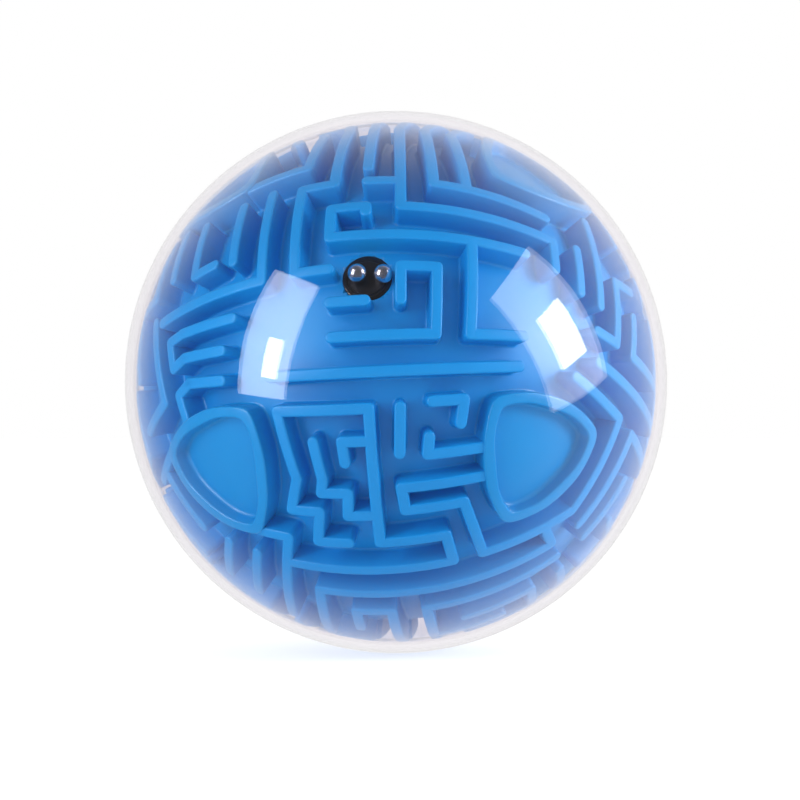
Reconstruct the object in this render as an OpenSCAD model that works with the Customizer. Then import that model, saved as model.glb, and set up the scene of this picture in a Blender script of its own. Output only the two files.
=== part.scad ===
// Spherical tilt maze: a clear two-part ball around a hollow blue maze ball with loose steel balls.
// Shared frame: millimetres, +Z up, front towards -Y, origin at the centre of the ball.
// The maze ball is laid out like a cube blown up into a sphere: six maze panels and eight corner caps.

/* [Clear shell] */
// Outside diameter of the clear ball
shell_d = 120; // [90:1:180]
// Thickness of the clear shell
shell_wall = 2; // [1.6:0.1:4]
// Depth of the tongue that lines up the two shell halves
tongue_depth = 1.6; // [1:0.1:3]

/* [Maze ball] */
// Gap between the wall tops and the inside of the shell
top_gap = 0.5; // [0.3:0.1:0.8]
// Height of the maze walls above the channel floor
wall_height = 5; // [4.2:0.1:7]
// Thickness of the maze walls
wall = 2.4; // [1.6:0.1:2.8]
// Thickness of the channel floor
floor_wall = 2; // [1.2:0.1:3]
// Grid cells along each edge of the blown-up cube
cells = 12; // [12:12:12]
// Tilt of the maze ball back inside the shell, in degrees
maze_tilt = 24.7; // [0:0.1:45]
// Turn of the maze ball about its own upright axis, in degrees
maze_turn = 6.5; // [-45:0.1:45]

/* [Corner caps] */
// Cells from a cube corner to the rim of its cap
cap_cells = 2; // [2:1:2]
// How far the caps' corners on the cube edges are trimmed back, in degrees
cap_trim = 2; // [0:0.1:4]
// Depth of the dish inside a cap's rim
cap_dish = 2.6; // [1.5:0.1:3.5]
// Diameter of the peg under each cap
cap_peg_d = 5; // [3:0.5:7]

/* [Balls and start pad] */
// Least play left round a ball in its channel; the ball is the largest stock size that leaves it
ball_play = 0.4; // [0.2:0.1:0.8]
// Step between stock ball diameters
ball_step = 0.5; // [0.5:0.5:1]
// Gap between the dark start pad and the nearest wall
pad_gap = 0.13; // [0.1:0.01:1]
// Thickness of the start pad
pad_thick = 1.1; // [0.6:0.1:1.4]

/* [Core] */
// Thickness of the inner core
core_wall = 2.5; // [2:0.1:4]
// Diameter of the panel pegs
peg_d = 5; // [3:0.5:7]
// Gap left between neighbouring mouldings
fit = 0.1; // [0.05:0.01:0.2]

/* [Hidden] */
$fn = 96;
eps = 0.03;
shell_r = shell_d / 2;
shell_in = shell_r - shell_wall;
top_r = shell_in - top_gap;
rim_r = shell_in - fit;
floor_r = top_r - wall_height;
under_r = floor_r - floor_wall;
core_r = under_r - fit;
core_in = core_r - core_wall;
seat_r = floor_r - floor_wall * 0.45;
far = 3 * shell_r;
mid_cell = cells / 2;
pitch = 90 / cells;
cap_angle = 45 - cap_cells * pitch;
arc_mm = floor_r * PI / 180;
cell_mm = pitch * arc_mm;
wall_angle = wall / 2 / arc_mm;
fit_angle = fit / arc_mm;
peg_angle = 20;
ball_room = min(cell_mm - wall, wall_height + top_gap) - ball_play;
ball_d = ball_step * floor(ball_room / ball_step);
ball_r = floor_r + ball_d / 2 + 0.02;
PAD = [6, 5.95];
pad_d = 2 * ((PAD[1] - 5) * cell_mm - wall / 2 - pad_gap);
pad_sag = floor_r - sqrt(floor_r * floor_r - pad_d * pad_d / 4);
clear = [0.93, 0.94, 0.98, 0.25];
blue = [0.05, 0.42, 0.78];
cap_blue = [0.09, 0.47, 0.82];
steel = [0.75, 0.76, 0.78];
dark = [0.04, 0.04, 0.05];

// Walls of one panel are polylines of [across, up] grid lines, 0 to 12, seen from outside.
FRONT = [
  [[5, 12], [5, 9], [4, 9], [4, 6], [5, 6]],
  [[6, 12], [6, 9.6]],
  [[6, 9], [7, 9]],
  [[7, 12], [7, 8], [11.6, 8], [11.6, 6.8]],
  [[8, 12], [8, 9], [11.5, 9]],
  [[9, 12], [9, 9]],
  [[6, 7.8], [6, 8], [5, 8], [5, 7], [10.6, 7]],
  [[9, 7], [9, 4], [10.6, 4]],
  [[7, 5], [7, 6], [8, 6], [8, 4], [5, 4]],
  [[5, 5], [6, 5]],
  [[0, 6], [3, 6], [3, 9.2]],
  [[2, 9.2], [2, 7]],
  [[0.5, 9.4], [0.5, 7.2], [1.3, 7.2]],
  [[0, 5], [2, 5]],
  [[0, 4], [1.5, 4]],
  [[0, 3], [1.3, 3]],
  [[3, 3], [10.6, 3]],
  [[3, 0], [3, 2], [6, 2], [6, 0]],
  [[5, 0.5], [5, 1.1], [6, 1.1]],
  [[4, 1.1], [4, 0]],
  [[7, 2], [7, 0.7]],
  [[8, 2.1], [9, 2.1], [9, 1.4]],
  [[8, 1.1], [8, 0.6], [10, 0.6]],
  [[4, 12], [4, 10], [2, 10]],
];
RIGHT = [
  [[0.5, 8], [0.5, 6.2]],
  [[1.3, 9.4], [1.3, 6]],
  [[3, 7.2], [2.1, 7.2], [2.1, 5], [1.2, 5]],
  [[3, 6.3], [3, 5], [5, 5], [5, 7]],
  [[1.4, 4], [6, 4], [6, 8], [4, 8]],
  [[0.6, 3], [3, 3], [3, 0]],
  [[4, 0], [4, 3], [7, 3], [7, 6]],
  [[3, 9], [3, 12]],
  [[5, 12], [5, 9], [7, 9], [7, 7]],
  [[6, 12], [6, 10]],
  [[7, 12], [7, 10], [9, 10], [9, 8]],
  [[8, 9], [8, 4], [9, 4]],
  [[9, 7], [9, 5], [11, 5]],
  [[10, 9], [10, 6], [12, 6]],
  [[11, 9], [11, 7]],
  [[5, 0], [5, 2]],
  [[6, 1], [8, 1], [8, 3], [10, 3]],
  [[9, 0], [9, 2]],
  [[10, 4], [12, 4]],
];
LEFT = [
  [[12, 6], [11, 6]],
  [[12, 5], [11.4, 5], [11.4, 4], [12, 4]],
  [[12, 3], [11.4, 3], [11.4, 2]],
  [[8.4, 2], [10, 2]],
  [[10.6, 6.2], [10.6, 3.3], [9, 3.3]],
  [[11.4, 9.6], [11.4, 7.6]],
  [[10.4, 9.4], [10.4, 7.2], [9, 7.2], [9, 5]],
  [[9, 12], [9, 9]],
  [[8, 10], [8, 6], [7, 6], [7, 8]],
  [[7, 12], [7, 9], [5, 9], [5, 7]],
  [[6, 12], [6, 10]],
  [[5, 12], [5, 10], [3, 10], [3, 8]],
  [[4, 9], [4, 5], [6, 5], [6, 8]],
  [[3, 7], [3, 4], [7, 4], [7, 3]],
  [[8, 5], [8, 3], [6, 3]],
  [[2, 9], [2, 6], [0, 6]],
  [[1, 9], [1, 7]],
  [[0, 4], [2, 4], [2, 5]],
  [[2, 3], [5, 3], [5, 1]],
  [[3, 0], [3, 2]],
  [[6, 0], [6, 2]],
  [[7, 0], [7, 2]],
  [[9, 0], [9, 2]],
];
BOTTOM = [
  [[3, 12], [3, 11], [4, 11], [4, 10], [5, 10]],
  [[4, 12], [4, 11.6], [5, 11.6], [5, 10.9], [6, 10.9]],
  [[6, 12], [6, 10], [8.1, 10], [8.1, 9], [3, 9]],
  [[0.6, 10], [3, 10], [3, 6]],
  [[2, 9], [2, 6.8]],
  [[10, 11.7], [7, 11.7], [7, 11], [9, 11], [9, 9], [12, 9]],
  [[11, 9], [11, 8], [4, 8], [4, 5]],
  [[5, 6], [5, 7.1], [6, 7.1], [6, 4]],
  [[9, 5], [7, 5], [7, 7.1], [11, 7.1]],
  [[1, 9], [1, 7]],
  [[0, 5], [2, 5], [2, 3]],
  [[3, 5], [3, 3], [5, 3], [5, 1]],
  [[4, 4], [5, 4]],
  [[8, 6], [10, 6], [10, 4], [8, 4], [8, 2]],
  [[11, 6], [11, 3]],
  [[7, 4], [7, 0]],
  [[6, 3], [6, 1]],
  [[3, 2], [3, 0]],
  [[9, 3], [9, 1]],
];
TOP = [
  [[3, 0], [3, 3], [1, 3], [1, 5]],
  [[5, 0], [5, 2], [4, 2], [4, 5]],
  [[6, 0], [6, 3]],
  [[7, 0], [7, 4], [5, 4], [5, 6]],
  [[8, 0], [8, 3], [10, 3], [10, 5]],
  [[9, 0], [9, 2]],
  [[0, 6], [3, 6], [3, 4]],
  [[8, 5], [8, 4], [9, 4], [9, 6], [6, 6], [6, 5]],
  [[12, 4], [11, 4], [11, 7], [7, 7], [7, 9]],
  [[2, 8], [2, 7], [5, 7], [5, 9], [6, 9], [6, 8]],
  [[1, 9], [1, 7]],
  [[3, 8], [4, 8], [4, 10], [8, 10], [8, 8], [9, 8]],
  [[10, 9], [10, 8], [12, 8]],
  [[9, 12], [9, 9]],
  [[3, 12], [3, 9]],
  [[5, 12], [5, 11], [7, 11]],
  [[8, 12], [8, 11]],
];
BACK = [
  [[3, 12], [3, 9], [1, 9], [1, 7]],
  [[0, 6], [2, 6], [2, 8], [4, 8], [4, 10]],
  [[5, 12], [5, 9], [7, 9], [7, 10]],
  [[6, 12], [6, 10]],
  [[8, 12], [8, 8], [5, 8], [5, 6], [3, 6], [3, 7]],
  [[9, 12], [9, 10]],
  [[9, 9], [11, 9], [11, 7]],
  [[6, 7], [10, 7], [10, 8]],
  [[12, 6], [7, 6], [7, 4], [9, 4], [9, 5]],
  [[6, 6], [6, 3], [8, 3], [8, 1]],
  [[0, 4], [1, 4], [1, 5], [5, 5], [5, 3]],
  [[2, 4], [4, 4], [4, 2], [6, 2], [6, 0]],
  [[1, 3], [3, 3], [3, 0]],
  [[10, 5], [11, 5], [11, 3], [9, 3], [9, 0]],
  [[5, 1], [5, 0]],
  [[7, 2], [7, 0]],
];

// Elevation of a grid crossing along its upright great circle, and its angle along a level one.
function across_deg(a) = (a - mid_cell) * pitch;
function rise(a, b) = atan(tan(across_deg(b)) * cos(across_deg(a)));
function sweep(a, b) = atan(tan(across_deg(a)) * cos(across_deg(b)));

// Turns the maze ball from its own cube frame to its place in the shell.
module posed() {
  rotate([-maze_tilt, 0, 0]) rotate([0, 0, -maze_turn]) children();
}

// Sets its children out along the ray through grid crossing [a, b] of the front panel, radius along Z.
module on_ray(a, b) {
  rotate([0, 0, across_deg(a)]) rotate([-rise(a, b), 0, 0]) rotate([90, 0, 0]) children();
}

module hollow_ball(outer, inner) {
  difference() {
    sphere(r = outer);
    sphere(r = inner);
  }
}

// A flat fan of wall from angle t0 to t1, cut to the ball later.
module fan(t0, t1) {
  lo = min(t0, t1);
  steps = ceil(abs(t1 - t0) / 15);
  step = abs(t1 - t0) / steps;
  over = (top_r + 0.6) / cos(7.5);
  outer = [for (i = [0:steps]) over * [cos(lo + i * step), sin(lo + i * step)]];
  inner = [for (i = [steps:-1:0]) seat_r * [cos(lo + i * step), sin(lo + i * step)]];
  linear_extrude(height = wall, center = true) polygon(concat(outer, inner));
}

// One straight wall between two grid crossings: p and q share a line.
module wall_run(p, q) {
  if (p[0] == q[0])
    rotate([0, 0, across_deg(p[0])]) rotate([90, 0, -90]) fan(rise(p[0], p[1]), rise(p[0], q[1]));
  else
    rotate([-across_deg(p[1]), 0, 0]) rotate([0, 0, -90]) fan(sweep(p[0], p[1]), sweep(q[0], q[1]));
}

module wall_line(line) {
  for (i = [0:len(line) - 2]) wall_run(line[i], line[i + 1]);
  for (p = line)
    on_ray(p[0], p[1]) translate([0, 0, seat_r - 0.2])
      cylinder(h = top_r + 1 - seat_r, r = wall / 2 + eps);
}

// The square cone of one cube face, less half the gap to its neighbours.
module face_cone() {
  tip = fit / 2 * sqrt(2);
  translate([0, -tip, 0]) intersection() {
    rotate([0, 0, -90]) linear_extrude(height = 2 * far, center = true)
      polygon([[0, 0], [far, -far], [far, far]]);
    rotate([90, 0, -90]) linear_extrude(height = 2 * far, center = true)
      polygon([[0, 0], [far, -far], [far, far]]);
  }
}

// The half space above a plane through Y = -X whose rise over the XY diagonal is this angle.
module above(rise) {
  rotate([0, 0, 45]) rotate([90, 0, 0]) linear_extrude(height = 2 * far, center = true)
    polygon([[0, 0], [2 * far, 2 * far * tan(rise)], [2 * far, 3 * far], [0, 3 * far]]);
}

// The cone of a corner cap: six sides on the grid lines at this angle, and trimmed, rounded corners.
module cap_cone(angle) {
  t = tan(angle);
  round_angle = 44.9 - angle;
  trim = atan(tan(cap_angle) / sqrt(2)) + cap_trim - cap_angle + angle;
  wedge = [[0, 0], [far, far * t], [far * t, far]];
  intersection() {
    linear_extrude(height = far) polygon(wedge);
    rotate([90, 0, 90]) linear_extrude(height = far) polygon(wedge);
    rotate([0, -90, -90]) linear_extrude(height = far) polygon(wedge);
    above(trim);
    rotate([90, 0, 90]) above(trim);
    rotate([0, -90, -90]) above(trim);
    rotate([0, atan(sqrt(2)), 45]) cylinder(h = far, r1 = 0, r2 = far * tan(round_angle));
  }
}

// Puts a corner cap in its octant: side 0 to 3 counts round the upright axis from +X +Y.
module to_corner(side, below) {
  rotate([0, 0, 90 * side]) rotate([0, 0, below ? 90 : 0]) rotate([below ? 180 : 0, 0, 0]) children();
}

module corners() {
  for (side = [0:3]) for (below = [false, true]) to_corner(side, below) children();
}

// Panels are drawn facing front and turned to their side afterwards.
module to_side(side) {
  turn = side == "right" ? [0, 0, 90] : side == "back" ? [0, 0, 180] : side == "left" ? [0, 0, -90]
    : side == "top" ? [-90, 0, 0] : side == "bottom" ? [90, 0, 0] : [0, 0, 0];
  rotate(turn) children();
}

module panel_pegs(d) {
  for (t = [-peg_angle, peg_angle])
    rotate([-t, 0, 0]) rotate([90, 0, 0]) translate([0, 0, core_in])
      cylinder(h = core_wall + fit + floor_wall / 2, d = d);
}

module panel(lines) {
  difference() {
    intersection() {
      face_cone();
      union() {
        hollow_ball(floor_r, under_r);
        intersection() {
          sphere(r = top_r);
          union() for (line = lines) wall_line(line);
        }
      }
    }
    rotate([0, 0, -90]) cap_cone(cap_angle - wall_angle - fit_angle);
    rotate([0, 0, 180]) cap_cone(cap_angle - wall_angle - fit_angle);
    rotate([180, 0, 0]) cap_cone(cap_angle - wall_angle - fit_angle);
    rotate([180, 0, 0]) rotate([0, 0, 90]) cap_cone(cap_angle - wall_angle - fit_angle);
  }
  panel_pegs(peg_d);
}

// The start pad lies where the balls wait, in the open square between four walls.
module pad_disc(d, low, high) {
  on_ray(PAD[0], PAD[1]) translate([0, 0, low]) cylinder(h = high - low, d = d);
}

module panel_front() {
  color(blue) posed() difference() {
    panel(FRONT);
    pad_disc(pad_d + 2 * fit, floor_r - pad_thick, floor_r + 1);
  }
}

module panel_side(side, lines) {
  color(blue) posed() to_side(side) panel(lines);
}

module start_pad() {
  color(dark) posed() pad_disc(pad_d, floor_r - pad_thick, floor_r - pad_sag);
}

module ball(a, b) {
  color(steel) posed() on_ray(a, b) translate([0, 0, ball_r]) sphere(d = ball_d);
}

module cap(side, below) {
  color(cap_blue) posed() to_corner(side, below) {
    difference() {
      intersection() {
        cap_cone(cap_angle - wall_angle);
        hollow_ball(rim_r, under_r);
      }
      intersection() {
        cap_cone(cap_angle + wall_angle);
        union() {
          hollow_ball(shell_r, top_r - cap_dish);
          sphere(r = floor_r);
        }
      }
    }
    rotate([0, atan(sqrt(2)), 45]) translate([0, 0, core_in])
      cylinder(h = floor_r + 0.5 - core_in, d = cap_peg_d);
  }
}

// Half a hollow ball on +Z with a tongue (lip true) or its rebate round the rim.
module half_ball(outer, inner, lip) {
  mid = inner + (outer - inner) * 0.45;
  rotate_extrude() {
    difference() {
      intersection() {
        circle(r = outer);
        translate([0, lip ? -tongue_depth : 0]) square([far, far]);
      }
      circle(r = inner);
      if (lip)
        difference() {
          translate([0, -far]) square([far, far]);
          circle(r = mid - fit);
        }
      else
        intersection() {
          translate([0, -1]) square([far, 1 + tongue_depth + fit]);
          circle(r = mid);
        }
    }
  }
}

module core_holes() {
  corners() rotate([0, atan(sqrt(2)), 45]) cylinder(h = shell_r, d = cap_peg_d + 2 * fit);
  for (side = ["front", "right", "back", "left", "top", "bottom"])
    to_side(side) for (t = [-peg_angle, peg_angle])
      rotate([-t, 0, 0]) rotate([90, 0, 0]) cylinder(h = shell_r, d = peg_d + 2 * fit);
}

module shell_front() {
  color(clear) rotate([90, 0, 0]) half_ball(shell_r, shell_in, true);
}

module shell_rear() {
  color(clear) rotate([-90, 0, 0]) half_ball(shell_r, shell_in, false);
}

module core_upper() {
  color(dark) posed() difference() {
    half_ball(core_r, core_in, true);
    core_holes();
  }
}

module core_lower() {
  color(dark) posed() difference() {
    rotate([180, 0, 0]) half_ball(core_r, core_in, false);
    core_holes();
  }
}

module panel_right() { panel_side("right", RIGHT); }
module panel_back() { panel_side("back", BACK); }
module panel_left() { panel_side("left", LEFT); }
module panel_top() { panel_side("top", TOP); }
module panel_bottom() { panel_side("bottom", BOTTOM); }
module cap_back_right_top() { cap(0, false); }
module cap_back_left_top() { cap(1, false); }
module cap_front_left_top() { cap(2, false); }
module cap_front_right_top() { cap(3, false); }
module cap_back_right_bottom() { cap(0, true); }
module cap_back_left_bottom() { cap(1, true); }
module cap_front_left_bottom() { cap(2, true); }
module cap_front_right_bottom() { cap(3, true); }
module ball_a() { ball(5.75, 5.97); }
module ball_b() { ball(6.5, 5.92); }

shell_front();
shell_rear();
panel_front();
panel_right();
panel_back();
panel_left();
panel_top();
panel_bottom();
cap_front_right_top();
cap_front_left_top();
cap_front_right_bottom();
cap_front_left_bottom();
cap_back_right_top();
cap_back_left_top();
cap_back_right_bottom();
cap_back_left_bottom();
core_upper();
core_lower();
start_pad();
ball_a();
ball_b();
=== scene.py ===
import bpy
import numpy as np
from mathutils import Matrix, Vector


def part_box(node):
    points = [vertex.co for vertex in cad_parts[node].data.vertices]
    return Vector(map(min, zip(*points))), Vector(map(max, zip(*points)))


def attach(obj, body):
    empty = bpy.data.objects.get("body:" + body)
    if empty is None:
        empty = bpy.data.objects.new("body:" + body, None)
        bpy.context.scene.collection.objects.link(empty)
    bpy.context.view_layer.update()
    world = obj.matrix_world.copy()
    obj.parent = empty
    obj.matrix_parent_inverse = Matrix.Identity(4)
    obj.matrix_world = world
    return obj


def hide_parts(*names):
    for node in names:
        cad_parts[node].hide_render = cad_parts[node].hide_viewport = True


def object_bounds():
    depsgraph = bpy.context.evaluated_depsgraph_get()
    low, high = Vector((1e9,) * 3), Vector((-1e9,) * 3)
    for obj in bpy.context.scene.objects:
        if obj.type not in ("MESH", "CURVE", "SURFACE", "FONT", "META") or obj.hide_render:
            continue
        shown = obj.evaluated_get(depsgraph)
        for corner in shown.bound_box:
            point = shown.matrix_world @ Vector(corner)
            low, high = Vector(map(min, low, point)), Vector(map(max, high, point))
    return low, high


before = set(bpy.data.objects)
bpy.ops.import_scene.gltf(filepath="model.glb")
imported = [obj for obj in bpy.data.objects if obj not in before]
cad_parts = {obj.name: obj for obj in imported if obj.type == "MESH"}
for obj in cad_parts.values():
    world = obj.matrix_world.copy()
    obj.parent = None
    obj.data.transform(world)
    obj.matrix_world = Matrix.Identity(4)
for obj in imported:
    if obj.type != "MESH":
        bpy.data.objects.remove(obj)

cad_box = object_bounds()

# Studio. The ball stands on a pale seamless floor in a white room, lit by the room itself and by
# two window-like softboxes, one at each side, each with a brighter core. The camera is level with
# the middle of the ball.
camera = bpy.data.objects.new("camera", bpy.data.cameras.new("camera"))
bpy.context.scene.collection.objects.link(camera)
bpy.context.scene.camera = camera
camera.location = (0, -0.7986, 0)
camera.rotation_euler = (np.pi / 2, 0, 0)
camera.data.lens = 162
camera.data.sensor_width = 36
camera.data.shift_x = 0.005
camera.data.shift_y = -0.0225
camera.data.clip_start = 0.01


def linear(hex_colour):
    """sRGB hex to linear RGBA: each channel goes through the sRGB curve."""
    c = np.array([int(hex_colour[i:i + 2], 16) for i in (1, 3, 5)]) / 255
    return (*np.where(c <= 0.04045, c / 12.92, ((c + 0.055) / 1.055) ** 2.4), 1.0)


def add(tree, kind, settings={}, **inputs):
    """Adds one node: settings go on the node, and inputs take a value or another node's output. An input
    is given by its name with _ for each space, or by _ and its number."""
    node = tree.nodes.new(kind)
    for name, value in settings.items():
        setattr(node, name, value)
    for name, value in inputs.items():
        socket = node.inputs[int(name[1:])] if name[0] == "_" else node.inputs[name.replace("_", " ")]
        if isinstance(value, bpy.types.NodeSocket):
            tree.links.new(value, socket)
        else:
            socket.default_value = value
    return node


def finish_material(name, **inputs):
    """A new Principled material named for the real one, with these plain values on its shader."""
    made = bpy.data.materials.new(name)
    made.use_nodes = True
    tree = made.node_tree
    tree.nodes.clear()
    shader = add(tree, "ShaderNodeBsdfPrincipled", **inputs)
    add(tree, "ShaderNodeOutputMaterial", Surface=shader.outputs["BSDF"])
    return made, tree, shader


def soft_light(name, direction, distance, size, radiance, roll):
    """A flat softbox that faces the ball, in this direction from it, with its distance and size in metres,
    rolled about its own line of sight by an angle in degrees. Its power is radiance times pi times area."""
    direction = np.array(direction) / np.linalg.norm(direction)
    lamp = bpy.data.lights.new(name, "AREA")
    lamp.shape = "RECTANGLE"
    lamp.size, lamp.size_y = size
    lamp.energy = radiance * np.pi * size[0] * size[1]
    made = bpy.data.objects.new(name, lamp)
    bpy.context.scene.collection.objects.link(made)
    made.location = direction * distance
    facing = made.location.to_track_quat("Z", "Y").to_matrix()
    made.rotation_euler = (facing @ Matrix.Rotation(np.radians(roll), 3, "Z")).to_euler()


soft_light("softbox_right", (0.888, -0.342, 0.30), 0.34, (0.20, 0.30), 3.0, 24)
soft_light("softbox_right_core", (0.90, -0.32, 0.26), 0.33, (0.08, 0.11), 15.0, 24)
soft_light("softbox_left", (-0.739, -0.602, 0.28), 0.34, (0.13, 0.27), 4.6, -8)
soft_light("softbox_left_core", (-0.73, -0.64, 0.14), 0.33, (0.035, 0.08), 14.0, -8)

# The room's light by kind of ray: white where it is seen, even and softer for lighting the ball, and
# in reflections and through the clear shell bright behind the ball and dim in front of it. The change
# from dim to bright runs along Y plus ROOM_LEAN times X.
ROOM_SOFT = 0.64                # share of the room's white that lights the ball
ROOM_DIM = 0.09                 # share of it that shows in reflections from in front
DIM_UNTIL, BRIGHT_FROM = -0.35, 0.9
ROOM_LEAN = 0.4
room = bpy.data.worlds.new("white_room")
bpy.context.scene.world = room
room.use_nodes = True
tree = room.node_tree
tree.nodes.clear()
way = add(tree, "ShaderNodeSeparateXYZ", Vector=add(tree, "ShaderNodeTexCoord").outputs["Generated"])
lean = add(tree, "ShaderNodeMath", dict(operation="MULTIPLY_ADD"),
           _0=way.outputs["X"], _1=ROOM_LEAN, _2=way.outputs["Y"])
depth = add(tree, "ShaderNodeMapRange", dict(interpolation_type="SMOOTHSTEP"), Value=lean.outputs["Value"],
            From_Min=DIM_UNTIL, From_Max=BRIGHT_FROM, To_Min=ROOM_DIM, To_Max=1.0)
ray = add(tree, "ShaderNodeLightPath")
lit = add(tree, "ShaderNodeMix", Factor=ray.outputs["Is Diffuse Ray"], A=1.0, B=ROOM_SOFT)
mirrored = add(tree, "ShaderNodeMath", dict(operation="MAXIMUM"),
               _0=ray.outputs["Is Glossy Ray"], _1=ray.outputs["Is Transmission Ray"])
strength = add(tree, "ShaderNodeMix",
               Factor=mirrored.outputs["Value"], A=lit.outputs["Result"], B=depth.outputs["Result"])
sky = add(tree, "ShaderNodeBackground", Color=(1, 1, 1, 1), Strength=strength.outputs["Result"])
add(tree, "ShaderNodeOutputWorld", Surface=sky.outputs["Background"])
bpy.context.scene.view_settings.view_transform = "Standard"

# Maze panels. Six injection-moulded blue ABS panels, each a square of the ball with its walls
# standing on a thin floor. Pegs under them and the corner caps hold them on the core.
# Sizes are in millimetres, and a name that ends in _R is a distance from the centre of the ball.
MM = 0.001
CELLS = 12                      # squares along each side of a panel
PITCH = np.radians(90 / CELLS)  # one square, as an angle at the centre
TOP_R = 57.5
FLOOR_R = 52.5
UNDER_R = 50.5
WALL = 2.4                      # thickness of a wall
EDGE = 0.45                     # rounding of its top edges
FOOT = 0.55                     # fillet at its foot
SINK = 0.6                      # how far it reaches down into the floor
ARC_STEP = np.radians(1.4)      # longest straight step along a wall
BOSS_STEPS = 20                 # steps round the end of a wall
FLOOR_STEPS, POCKET_STEPS = 4, 8  # steps to a square of floor, without and with the pad's pocket
SHARP = np.radians(40)          # edges sharper than this are shaded as edges
TILT, TURN = np.radians(24.7), np.radians(6.5)
PAD = (6, 5.95)                 # the pad's middle, in grid points of the front panel
PAD_RADIUS = 5.2
PAD_FIT = 0.1                   # gap round the pad
PAD_THICK = 1.1

# The walls of each panel as lines of (across, up) grid points, 0 to CELLS, seen from outside.
FRONT = [
    [(5, 12), (5, 9), (4, 9), (4, 6), (5, 6)], [(6, 12), (6, 9.6)], [(6, 9), (7, 9)],
    [(7, 12), (7, 8), (11.6, 8), (11.6, 6.8)], [(8, 12), (8, 9), (11.5, 9)], [(9, 12), (9, 9)],
    [(6, 7.8), (6, 8), (5, 8), (5, 7), (10.6, 7)], [(9, 7), (9, 4), (10.6, 4)],
    [(7, 5), (7, 6), (8, 6), (8, 4), (5, 4)], [(5, 5), (6, 5)], [(0, 6), (3, 6), (3, 9.2)],
    [(2, 9.2), (2, 7)], [(0.5, 9.4), (0.5, 7.2), (1.3, 7.2)], [(0, 5), (2, 5)], [(0, 4), (1.5, 4)],
    [(0, 3), (1.3, 3)], [(3, 3), (10.6, 3)], [(3, 0), (3, 2), (6, 2), (6, 0)],
    [(5, 0.5), (5, 1.1), (6, 1.1)], [(4, 1.1), (4, 0)], [(7, 2), (7, 0.7)],
    [(8, 2.1), (9, 2.1), (9, 1.4)], [(8, 1.1), (8, 0.6), (10, 0.6)], [(4, 12), (4, 10), (2, 10)],
]
RIGHT = [
    [(0.5, 8), (0.5, 6.2)], [(1.3, 9.4), (1.3, 6)], [(3, 7.2), (2.1, 7.2), (2.1, 5), (1.2, 5)],
    [(3, 6.3), (3, 5), (5, 5), (5, 7)], [(1.4, 4), (6, 4), (6, 8), (4, 8)], [(0.6, 3), (3, 3), (3, 0)],
    [(4, 0), (4, 3), (7, 3), (7, 6)], [(3, 9), (3, 12)], [(5, 12), (5, 9), (7, 9), (7, 7)],
    [(6, 12), (6, 10)], [(7, 12), (7, 10), (9, 10), (9, 8)], [(8, 9), (8, 4), (9, 4)],
    [(9, 7), (9, 5), (11, 5)], [(10, 9), (10, 6), (12, 6)], [(11, 9), (11, 7)], [(5, 0), (5, 2)],
    [(6, 1), (8, 1), (8, 3), (10, 3)], [(9, 0), (9, 2)], [(10, 4), (12, 4)],
]
LEFT = [
    [(12, 6), (11, 6)], [(12, 5), (11.4, 5), (11.4, 4), (12, 4)], [(12, 3), (11.4, 3), (11.4, 2)],
    [(8.4, 2), (10, 2)], [(10.6, 6.2), (10.6, 3.3), (9, 3.3)], [(11.4, 9.6), (11.4, 7.6)],
    [(10.4, 9.4), (10.4, 7.2), (9, 7.2), (9, 5)], [(9, 12), (9, 9)], [(8, 10), (8, 6), (7, 6), (7, 8)],
    [(7, 12), (7, 9), (5, 9), (5, 7)], [(6, 12), (6, 10)], [(5, 12), (5, 10), (3, 10), (3, 8)],
    [(4, 9), (4, 5), (6, 5), (6, 8)], [(3, 7), (3, 4), (7, 4), (7, 3)], [(8, 5), (8, 3), (6, 3)],
    [(2, 9), (2, 6), (0, 6)], [(1, 9), (1, 7)], [(0, 4), (2, 4), (2, 5)], [(2, 3), (5, 3), (5, 1)],
    [(3, 0), (3, 2)], [(6, 0), (6, 2)], [(7, 0), (7, 2)], [(9, 0), (9, 2)],
]
BOTTOM = [
    [(3, 12), (3, 11), (4, 11), (4, 10), (5, 10)],
    [(4, 12), (4, 11.6), (5, 11.6), (5, 10.9), (6, 10.9)],
    [(6, 12), (6, 10), (8.1, 10), (8.1, 9), (3, 9)], [(0.6, 10), (3, 10), (3, 6)], [(2, 9), (2, 6.8)],
    [(10, 11.7), (7, 11.7), (7, 11), (9, 11), (9, 9), (12, 9)], [(11, 9), (11, 8), (4, 8), (4, 5)],
    [(5, 6), (5, 7.1), (6, 7.1), (6, 4)], [(9, 5), (7, 5), (7, 7.1), (11, 7.1)], [(1, 9), (1, 7)],
    [(0, 5), (2, 5), (2, 3)], [(3, 5), (3, 3), (5, 3), (5, 1)], [(4, 4), (5, 4)],
    [(8, 6), (10, 6), (10, 4), (8, 4), (8, 2)], [(11, 6), (11, 3)], [(7, 4), (7, 0)], [(6, 3), (6, 1)],
    [(3, 2), (3, 0)], [(9, 3), (9, 1)],
]
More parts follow.
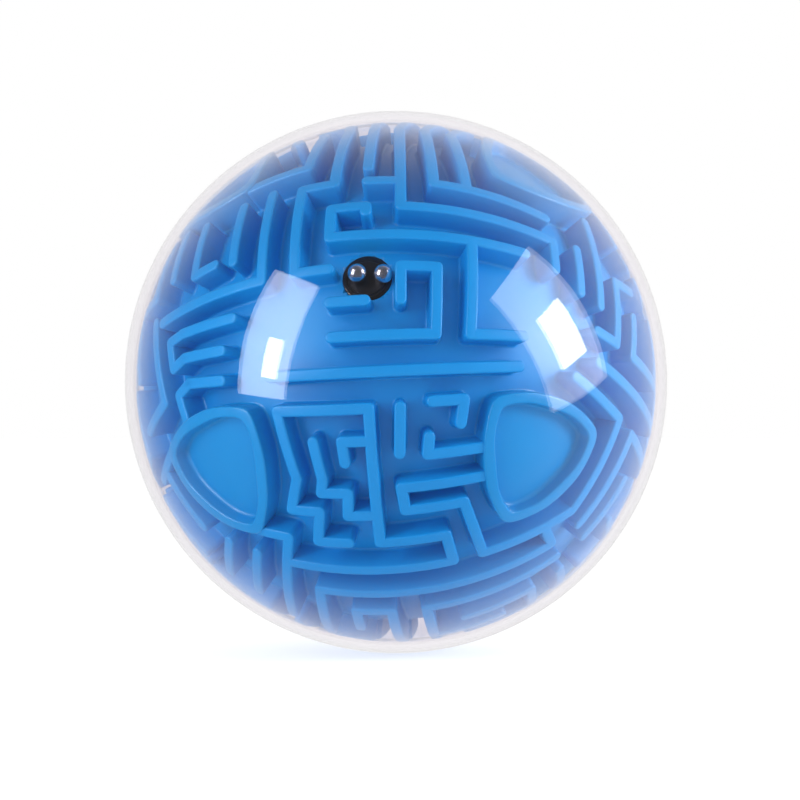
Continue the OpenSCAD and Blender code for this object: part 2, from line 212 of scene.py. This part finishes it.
TOP = [
    [(3, 0), (3, 3), (1, 3), (1, 5)], [(5, 0), (5, 2), (4, 2), (4, 5)], [(6, 0), (6, 3)],
    [(7, 0), (7, 4), (5, 4), (5, 6)], [(8, 0), (8, 3), (10, 3), (10, 5)], [(9, 0), (9, 2)],
    [(0, 6), (3, 6), (3, 4)], [(8, 5), (8, 4), (9, 4), (9, 6), (6, 6), (6, 5)],
    [(12, 4), (11, 4), (11, 7), (7, 7), (7, 9)], [(2, 8), (2, 7), (5, 7), (5, 9), (6, 9), (6, 8)],
    [(1, 9), (1, 7)], [(3, 8), (4, 8), (4, 10), (8, 10), (8, 8), (9, 8)], [(10, 9), (10, 8), (12, 8)],
    [(9, 12), (9, 9)], [(3, 12), (3, 9)], [(5, 12), (5, 11), (7, 11)], [(8, 12), (8, 11)],
]
BACK = [
    [(3, 12), (3, 9), (1, 9), (1, 7)], [(0, 6), (2, 6), (2, 8), (4, 8), (4, 10)],
    [(5, 12), (5, 9), (7, 9), (7, 10)], [(6, 12), (6, 10)],
    [(8, 12), (8, 8), (5, 8), (5, 6), (3, 6), (3, 7)], [(9, 12), (9, 10)], [(9, 9), (11, 9), (11, 7)],
    [(6, 7), (10, 7), (10, 8)], [(12, 6), (7, 6), (7, 4), (9, 4), (9, 5)],
    [(6, 6), (6, 3), (8, 3), (8, 1)], [(0, 4), (1, 4), (1, 5), (5, 5), (5, 3)],
    [(2, 4), (4, 4), (4, 2), (6, 2), (6, 0)], [(1, 3), (3, 3), (3, 0)],
    [(10, 5), (11, 5), (11, 3), (9, 3), (9, 0)], [(5, 1), (5, 0)], [(7, 2), (7, 0)],
]


def turn_x(angle):
    """The turn about X by this angle in radians, as a 3 by 3 matrix."""
    c, s = np.cos(angle), np.sin(angle)
    return np.array([[1, 0, 0], [0, c, -s], [0, s, c]])


def turn_z(angle):
    """The turn about Z by this angle in radians, as a 3 by 3 matrix."""
    c, s = np.cos(angle), np.sin(angle)
    return np.array([[c, -s, 0], [s, c, 0], [0, 0, 1]])


POSED = turn_x(-TILT) @ turn_z(-TURN)
QUARTER = np.pi / 2


def grid_ray(u, v):
    """Unit ray through grid point (u, v) of a panel that faces -Y: (tan a, -1, tan b) made unit long,
    where a and b are the point's steps from the panel's middle times the pitch."""
    a, b = np.broadcast_arrays((np.asarray(u, float) - CELLS / 2) * PITCH,
                               (np.asarray(v, float) - CELLS / 2) * PITCH)
    ray = np.stack([np.tan(a), -np.ones_like(a), np.tan(b)], -1)
    return ray / np.linalg.norm(ray, axis=-1, keepdims=True)


def arc_points(centre, radius, start, end, count):
    """Points of a circle's arc between two angles in degrees, as rows of (across, up)."""
    t = np.radians(np.linspace(start, end, count))
    return np.stack([centre[0] + radius * np.cos(t), centre[1] + radius * np.sin(t)], -1)


def full_turn(steps):
    """Angles in even steps once round, in radians."""
    return np.linspace(0, 2 * np.pi, steps, endpoint=False)


def outward(verts, faces):
    """The faces of a closed part, turned over if the volume they enclose comes out negative. The volume
    is the sum of a . (b x c) + a . (c x d) over the quads, and only its sign is used. A quad turned over
    keeps its last two corners together, because a triangle is a quad that has them doubled."""
    a, b, c, d = (verts[faces[:, k]] for k in range(4))
    volume = np.einsum("ij,ij->", a, np.cross(b, c)) + np.einsum("ij,ij->", a, np.cross(c, d))
    return faces if volume > 0 else faces[:, [1, 0, 3, 2]]


def strip_faces(rows, columns, closed=False):
    """Quads that join a rows by columns sheet of points, each row wrapping round where it is closed."""
    i, j = np.meshgrid(np.arange(rows - 1), np.arange(columns - (not closed)), indexing="ij")
    here, below, j2 = i * columns, (i + 1) * columns, (j + 1) % columns
    return np.stack([here + j, below + j, below + j2, here + j2], -1).reshape(-1, 4)


def fan_faces(hub, rim):
    """Triangles from a hub point to each step of a closed rim, as quads with a doubled last corner."""
    following = np.roll(rim, -1)
    return np.stack([np.full_like(rim, hub), rim, following, following], -1)


def capped_rings(rings, first_pole, last_pole):
    """A closed part from rings of points in order: quads from each ring to the next, and a fan from
    each end ring to its pole."""
    count, steps = rings.shape[:2]
    end = count * steps
    verts = np.concatenate([rings.reshape(-1, 3), [first_pole, last_pole]])
    faces = np.concatenate([
        strip_faces(count, steps, closed=True),
        fan_faces(end, np.arange(steps)),
        fan_faces(end + 1, np.arange(end - steps, end)[::-1]),
    ])
    return verts, outward(verts, faces)


# Half of a wall's cross-section as rows of (distance from its middle, distance from the centre of the
# ball), from its sunk foot up over the fillet and the rounded edge to the middle of its top.
half_wall = np.concatenate([
    [[0, FLOOR_R - SINK], [WALL / 2 + FOOT, FLOOR_R - SINK]],
    arc_points((WALL / 2 + FOOT, FLOOR_R + FOOT), FOOT, 270, 180, 5),
    [[WALL / 2, (FLOOR_R + TOP_R) / 2]],
    arc_points((WALL / 2 - EDGE, TOP_R - EDGE), EDGE, 0, 90, 6),
    [[0, TOP_R]],
])
whole_wall = np.concatenate([half_wall, half_wall[-2:0:-1] * [-1, 1]])


def wall_run(p, q):
    """A straight wall: its cross-section (across w, radius r) carried along the great circle from p to q.
    A point is sqrt(r^2 - w^2) along the ray plus w along the circle's axis, so it is r from the centre."""
    first, last = grid_ray(*p), grid_ray(*q)
    axis = np.cross(first, last)
    axis /= np.linalg.norm(axis)
    angle = np.arccos(np.clip(first @ last, -1, 1))
    t = np.linspace(0, angle, max(2, int(np.ceil(angle / ARC_STEP)) + 1))
    rays = np.cos(t)[:, None] * first + np.sin(t)[:, None] * np.cross(axis, first)
    w, r = whole_wall.T
    verts = (np.sqrt(r ** 2 - w ** 2)[None, :, None] * rays[:, None] + w[None, :, None] * axis).reshape(-1, 3)
    rows, columns = len(t), len(w)
    end = (rows - 1) * columns
    faces = strip_faces(rows, columns, closed=True)
    ring = np.arange(1, columns - 1)
    near = np.stack([0 * ring, ring, ring + 1, ring + 1], -1)
    far = np.stack([0 * ring, ring + 1, ring, ring], -1) + end
    return verts, outward(verts, np.concatenate([faces, near, far]))


def turned(profile, ray, steps):
    """A round part: a profile of (distance w from the axis, distance r from the centre of the ball) turned
    about a ray, so a point is sqrt(r^2 - w^2) along the ray plus w round it. The first and last profile
    points lie on the ray and become single points."""
    slanting = [0.31, 0.52, 0.79]
    side = np.cross(ray, slanting)
    side /= np.linalg.norm(side)
    t = full_turn(steps)
    around = np.cos(t)[:, None] * side + np.sin(t)[:, None] * np.cross(ray, side)
    w, r = profile[1:-1].T
    rings = np.sqrt(r ** 2 - w ** 2)[:, None, None] * ray + w[:, None, None] * around
    return capped_rings(rings, profile[0, 1] * ray, profile[-1, 1] * ray)


def panel_floor(pocket):
    """The floor between the walls: a square sheet of the ball given its thickness, without the corner
    cells deep under the caps. Where there is a pocket for the pad, the points near its rim move onto
    the rim, and the points inside it step down by the pad's thickness."""
    per_cell = POCKET_STEPS if pocket else FLOOR_STEPS
    steps = CELLS * per_cell
    line = np.linspace(0, CELLS, steps + 1)
    rays = grid_ray(line[:, None], line[None, :]).reshape(-1, 3)
    radius = np.full(len(rays), FLOOR_R)
    if pocket:
        hub = grid_ray(*PAD)
        along = rays @ hub
        away = np.linalg.norm(np.cross(rays, hub), axis=-1) * FLOOR_R
        away[along < 0] = FLOOR_R
        rim = PAD_RADIUS + PAD_FIT
        near = np.abs(away - rim) < 0.5 * FLOOR_R * PITCH / per_cell
        sideways = rays - along[:, None] * hub
        sideways /= np.maximum(np.linalg.norm(sideways, axis=-1, keepdims=True), 1e-9)
        snapped = np.sqrt(1 - (rim / FLOOR_R) ** 2) * hub + rim / FLOOR_R * sideways
        rays = np.where(near[:, None], snapped, rays)
        radius = np.where(~near & (away < rim), FLOOR_R - PAD_THICK, radius)
    middle = (line[:-1] + line[1:]) / 2
    corner = np.abs(middle - CELLS / 2) > CELLS / 2 - 1
    kept = ~(corner[:, None] & corner[None, :]).reshape(-1)
    top = strip_faces(steps + 1, steps + 1)[kept]
    # An edge that no other face runs along the other way is on the outline, and gets a side face.
    edges = np.concatenate([top[:, [k, (k + 1) % 4]] for k in range(4)])
    under = len(rays)
    there, back = edges[:, 0] * under + edges[:, 1], edges[:, 1] * under + edges[:, 0]
    rim_edges = edges[~np.isin(there, back)]
    sides = np.stack([rim_edges[:, 1], rim_edges[:, 0], rim_edges[:, 0] + under, rim_edges[:, 1] + under], -1)
    verts = np.concatenate([rays * radius[:, None], rays * UNDER_R])
    faces = np.concatenate([top, top[:, ::-1] + under, sides])
    return verts, outward(verts, faces)


def new_piece(name, parts, turn, material, body):
    """Joins closed parts in millimetres into one object in metres, turned into place, without the points
    that no face uses, makes triangles of the quads with a doubled corner, and rides it on its body."""
    starts = np.cumsum([0] + [len(verts) for verts, _ in parts])
    verts = np.concatenate([verts for verts, _ in parts]) @ turn.T * MM
    faces = np.concatenate([faces + start for (_, faces), start in zip(parts, starts)])
    used, faces = np.unique(faces, return_inverse=True)
    verts, faces = verts[used], faces.reshape(-1, 4)
    doubled = faces[:, 2] == faces[:, 3]
    mesh = bpy.data.meshes.new(name)
    mesh.from_pydata(verts, [], faces[~doubled].tolist() + faces[doubled, :3].tolist())
    mesh.shade_smooth()
    mesh.set_sharp_from_angle(angle=SHARP)
    mesh.materials.append(material)
    made = bpy.data.objects.new(name, mesh)
    bpy.context.scene.collection.objects.link(made)
    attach(made, body)
    return made


def cloud_colour(tree, shader, per_metre, detail, darker, lighter):
    """Flow clouding: the base colour drifts between two close shades, with this many patches to a metre."""
    cloud = add(tree, "ShaderNodeTexNoise", Vector=add(tree, "ShaderNodeTexCoord").outputs["Object"],
                Scale=per_metre, Detail=detail)
    tint = add(tree, "ShaderNodeMixRGB",
               Fac=cloud.outputs["Fac"], Color1=linear(darker), Color2=linear(lighter))
    tree.links.new(tint.outputs["Color"], shader.inputs["Base Color"])


def orange_peel(tree, shader, strength):
    """The slight ripple of a moulded surface: waves of about 1.2 mm, 830 to a metre, up to 0.1 mm high."""
    peel = add(tree, "ShaderNodeTexNoise", Vector=add(tree, "ShaderNodeTexCoord").outputs["Object"],
               Scale=830.0, Detail=2.0)
    bump = add(tree, "ShaderNodeBump", Strength=strength, Distance=0.1 * MM, Height=peel.outputs["Fac"])
    tree.links.new(bump.outputs["Normal"], shader.inputs["Normal"])


# Glossy ABS straight from a polished mould: an even satin shine, with faint flow clouding in the
# colour, in patches of about 9 mm, and an orange-peel ripple.
blue_abs, tree, shader = finish_material("blue_abs_moulded", Roughness=0.38, IOR=1.53, Specular_IOR_Level=0.3)
cloud_colour(tree, shader, 110.0, 3.0, "#0083ca", "#028cd3")
orange_peel(tree, shader, 0.08)

SIDES = {
    "front": (FRONT, np.eye(3)),
    "right": (RIGHT, turn_z(QUARTER)),
    "back": (BACK, turn_z(2 * QUARTER)),
    "left": (LEFT, turn_z(-QUARTER)),
    "top": (TOP, turn_x(-QUARTER)),
    "bottom": (BOTTOM, turn_x(QUARTER)),
}
for side, (lines, turn) in SIDES.items():
    parts = [panel_floor(pocket=side == "front")]
    for line in lines:
        parts += [wall_run(p, q) for p, q in zip(line, line[1:])]
        parts += [turned(half_wall, grid_ray(*p), BOSS_STEPS) for p in line]
    panel = new_piece(f"maze_panel_{side}", parts, POSED @ turn, blue_abs, "maze")
    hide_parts(f"panel_{side}")

# Corner caps. Eight hexagonal islands of a lighter blue ABS, each a raised rim round a smooth
# recessed dish. A peg under each one is pressed into the core and clamps three panels.
CAP_R = 57.9
CAP_ANGLE = 30.0                # the grid line along a cap's rim, in degrees from the panel's middle
CAP_TRIM = 2.0                  # how far its corners on the panels' shared edges are cut back, in degrees
CAP_CONE = 44.9                 # half angle of the round outline that trims its other corners, plus CAP_ANGLE
BLEND = 22.0                    # a higher power leaves sharper corners
DISH_R = 54.9
DISH_FILLET = 0.9
DISH_SHARES = np.linspace(0.9, 0.1, 9)[:, None]  # rings of the dish, as shares of its outline
CAP_STEPS = 120                 # steps round a cap
DEG_PER_MM = 1 / (FLOOR_R * np.pi / 180)
DIAGONAL = np.ones(3) / np.sqrt(3)


def around_diagonal(theta):
    """Unit rays square to the corner's diagonal, at each turn theta about it."""
    return np.cos(theta)[:, None] * np.array([1, -1, 0]) / np.sqrt(2) + \
        np.sin(theta)[:, None] * np.array([1, 1, -2]) / np.sqrt(6)


def cap_outline(theta, angle):
    """Angle from the corner's diagonal to the cap's outline at each turn theta: the least distance to
    six planes on the grid lines, three that trim the corners between them and a round cone, blended by
    a power mean to round what is left."""
    t = np.tan(np.radians(angle))
    trim = np.arctan(np.tan(np.radians(CAP_ANGLE)) / np.sqrt(2)) + np.radians(CAP_TRIM - CAP_ANGLE + angle)
    s = np.tan(trim) / np.sqrt(2)
    planes = np.array([[-t, 1, 0], [1, -t, 0], [0, -t, 1], [0, 1, -t], [-t, 0, 1], [1, 0, -t],
                       [-s, -s, 1], [1, -s, -s], [-s, 1, -s]])
    reach = np.arctan2(planes @ DIAGONAL, -(around_diagonal(theta) @ planes.T))
    reach = np.concatenate([reach, np.full((len(theta), 1), np.radians(CAP_CONE - angle))], 1)
    return (reach ** -BLEND).sum(1) ** (-1 / BLEND)


def cap_part():
    """The cap in the +X +Y +Z octant: rings of its outline at each (offset from the rim's middle, radius)
    of the cross-section, from the underside out over the rim and into the dish."""
    half = WALL / 2
    section = np.concatenate([
        [[half, UNDER_R], [half + FOOT, FLOOR_R - SINK]],
        arc_points((half + FOOT, FLOOR_R + FOOT), FOOT, 270, 180, 5),
        arc_points((half - EDGE, CAP_R - EDGE), EDGE, 0, 90, 6),
        arc_points((EDGE - half, CAP_R - EDGE), EDGE, 90, 180, 6),
        arc_points((-half - DISH_FILLET, DISH_R + DISH_FILLET), DISH_FILLET, 0, -90, 7),
    ])
    theta = full_turn(CAP_STEPS)
    reach = np.array([cap_outline(theta, CAP_ANGLE - w * DEG_PER_MM) for w, _ in section])
    reach = np.concatenate([reach, DISH_SHARES * reach[-1]])[..., None]
    radius = np.concatenate([section[:, 1], np.full(len(DISH_SHARES), DISH_R)])[:, None, None]
    rings = radius * (np.cos(reach) * DIAGONAL + np.sin(reach) * around_diagonal(theta))
    return capped_rings(rings, DIAGONAL * UNDER_R, DIAGONAL * DISH_R)


# The same ABS a shade lighter, from a more highly polished mould, with clouding of about 11 mm.
cap_abs, tree, shader = finish_material(
    "light_blue_abs_polished", Roughness=0.3, IOR=1.53, Specular_IOR_Level=0.35)
cloud_colour(tree, shader, 90.0, 3.0, "#0682c4", "#0a89cb")
orange_peel(tree, shader, 0.06)

island = [cap_part()]
for turns, corner in enumerate(("back_right", "back_left", "front_left", "front_right")):
    for level in ("top", "bottom"):
        turn = turn_z(turns * QUARTER)
        if level == "bottom":
            turn = turn @ turn_z(QUARTER) @ turn_x(2 * QUARTER)
        cap = new_piece(f"corner_cap_{corner}_{level}", island, POSED @ turn, cap_abs, "maze")
        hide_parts(f"cap_{corner}_{level}")

# Core. Two dark grey polystyrene half shells inside the maze, which the panels' pegs tie together.
# They never show from outside, so the CAD solids stay, in a plain moulded finish clouded every 7 mm.
core_ps, tree, shader = finish_material("grey_polystyrene_moulded", Roughness=0.5, IOR=1.59)
cloud_colour(tree, shader, 150.0, 3.0, "#2c2f36", "#373b43")
for name in ("core_upper", "core_lower"):
    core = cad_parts[name]
    core.data.materials.clear()
    core.data.materials.append(core_ps)

# Start pad. A black disc let into the front panel, flush with the channel floor, with a shallow groove round
# it near its edge.
# The balls wait on it. Its near-black colour is painted shade, standing in for the dark shadow round the
# balls, and is clouded every 3 mm.
PAD_GAP = 0.02                  # between the pad and its pocket, and below the channel floor
PAD_TOP_R = FLOOR_R - PAD_GAP
PAD_UNDER_R = FLOOR_R - PAD_THICK + PAD_GAP
PAD_ROUND = 0.3                 # rounding of its rim
GROOVE = PAD_RADIUS - np.array([0.9, 1.0, 1.3, 1.4])  # from its outer lip to its inner lip
GROOVE_R = PAD_TOP_R - 0.12     # its bottom
pad_profile = np.concatenate([
    [[0, PAD_UNDER_R], [PAD_RADIUS, PAD_UNDER_R], [PAD_RADIUS, PAD_TOP_R - 1.1 * PAD_ROUND]],
    arc_points((PAD_RADIUS - PAD_ROUND, PAD_TOP_R - PAD_ROUND), PAD_ROUND, 0, 90, 5),
    np.stack([GROOVE, [PAD_TOP_R, GROOVE_R, GROOVE_R, PAD_TOP_R]], -1),
    [[PAD_RADIUS * 0.4, PAD_TOP_R], [0, PAD_TOP_R]],
])
PAD_STEPS = 64
# The pad's near-black colour is painted shade: a dark disc where the balls' shadow falls.
pad_painted_shade, tree, shader = finish_material("black_pad_painted_shade", Roughness=0.3, IOR=1.53)
cloud_colour(tree, shader, 300.0, 4.0, "#0b0c0f", "#16181d")
pad = new_piece("round_start_pad_painted_shade", [turned(pad_profile, grid_ray(*PAD), PAD_STEPS)], POSED, pad_painted_shade,
                "maze")
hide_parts("start_pad")

# Steel balls. Two loose 4 mm bearing balls of polished chrome steel that roll in the channels.
# They carry the faint scuffs of use, about 0.4 mm across.
BALL_STEPS = 32                 # steps from pole to pole
chrome_steel, tree, shader = finish_material("chrome_steel_polished",
                                             Metallic=1.0, Base_Color=linear("#e0e2e5"))
scuff = add(tree, "ShaderNodeTexNoise", Vector=add(tree, "ShaderNodeTexCoord").outputs["Object"],
            Scale=2500.0, Detail=4.0)
shine = add(tree, "ShaderNodeMapRange", Value=scuff.outputs["Fac"], To_Min=0.13, To_Max=0.24)
tree.links.new(shine.outputs["Result"], shader.inputs["Roughness"])


def bearing_ball(centre, radius):
    """A sphere with poles on Z: rings at even angles from pole to pole."""
    fall = np.linspace(0, np.pi, BALL_STEPS + 1)[1:-1, None]
    t = full_turn(2 * BALL_STEPS)
    rings = np.stack([np.sin(fall) * np.cos(t), np.sin(fall) * np.sin(t), np.cos(fall) + 0 * t], -1)
    pole = np.array([0, 0, radius])
    verts, faces = capped_rings(rings * radius, pole, -pole)
    return verts + centre, faces


for name in ("ball_a", "ball_b"):
    low, high = (np.array(corner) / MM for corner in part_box(name))
    part = bearing_ball((low + high) / 2, (high - low).max() / 2)
    steel = new_piece(f"steel_{name}", [part], np.eye(3), chrome_steel, name)
    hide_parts(name)

# Clear shell. Two half balls of clear polystyrene, 2 mm thick, that meet in a tongue and rebate
# round the upright seam. It seals the maze in and carries the gloss of the whole object.
SHELL_R = 60.0
SHELL_IN_R = 58.0
TONGUE = 1.6                    # how far the tongue reaches across the seam
TONGUE_SHARE = 0.45             # of the wall's thickness
PLAY = 0.1                      # round the tongue
SEAM = 0.04                     # gap between the halves at the outside
DRAFT = 0.02                    # taper of the tongue's inner face
SHELL_FALL, SHELL_STEPS = 80, 224  # steps from pole to seam, and round it

# Polystyrene from a mirror-polished mould: as clear and smooth as glass, with the faintest violet cast.
clear_ps, _, _ = finish_material("clear_polystyrene_polished", Roughness=0.0, IOR=1.49,
                                 Transmission_Weight=1.0, Base_Color=linear("#f3eff5"))


def half_shell(front):
    """Half of the clear ball, turned about Y: a closed cross-section of (distance from Y, depth from the
    seam) from the outer pole over the seam to the inner pole. The front half has the tongue and the rear
    half the rebate that takes it."""
    fall = np.radians(np.linspace(0, 90, SHELL_FALL + 1))[1:-1]
    mid = SHELL_IN_R + (SHELL_R - SHELL_IN_R) * TONGUE_SHARE
    outer = SHELL_R * np.stack([np.sin(fall), np.cos(fall)], -1)
    inner = SHELL_IN_R * np.stack([np.sin(fall), np.cos(fall)], -1)[::-1]
    if front:
        seam = [[SHELL_R, SEAM], [mid - PLAY, SEAM], [mid - PLAY, -TONGUE + PLAY],
                [SHELL_IN_R + DRAFT, -TONGUE + PLAY], [SHELL_IN_R, SEAM]]
    else:
        seam = [[SHELL_R, 0], [mid, 0], [mid, TONGUE + PLAY], [SHELL_IN_R, TONGUE + PLAY]]
        inner = inner[inner[:, 1] > TONGUE + 2 * PLAY]
    across, depth = np.concatenate([outer, seam, inner]).T[..., None]
    t = full_turn(SHELL_STEPS)
    away = -1 if front else 1
    rings = np.stack([across * np.cos(t), depth * away + 0 * t, across * np.sin(t)], -1)
    pole = np.array([0, away, 0])
    return capped_rings(rings, pole * SHELL_R, pole * SHELL_IN_R)


for half in ("front", "rear"):
    shell = new_piece(f"clear_shell_{half}", [half_shell(half == "front")], np.eye(3), clear_ps, "maze")
    shell.visible_shadow = False
    shell.visible_diffuse = False
    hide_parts(f"shell_{half}")

# Floor. A pale seamless studio sheet of matt white paper just under the ball, which glows a little
# so that it reads as an even white. It isn't mirrored in the ball. Sizes are in metres.
SHEET_REACH = 3.0
SHEET_DROP = 0.0002
level = cad_box[0][2] - SHEET_DROP
sheet = bpy.data.meshes.new("studio_floor")
corners = ((-1, -1), (1, -1), (1, 1), (-1, 1))
sheet.from_pydata([(x * SHEET_REACH, y * SHEET_REACH, level) for x, y in corners], [], [(0, 1, 2, 3)])
floor = bpy.data.objects.new("studio_floor", sheet)
bpy.context.scene.collection.objects.link(floor)
paper, _, _ = finish_material("white_paper", Base_Color=linear("#bcbcbc"), Roughness=0.9,
                              Emission_Color=(1, 1, 1, 1), Emission_Strength=0.7)
sheet.materials.append(paper)
floor.visible_glossy = False
floor.visible_transmission = False
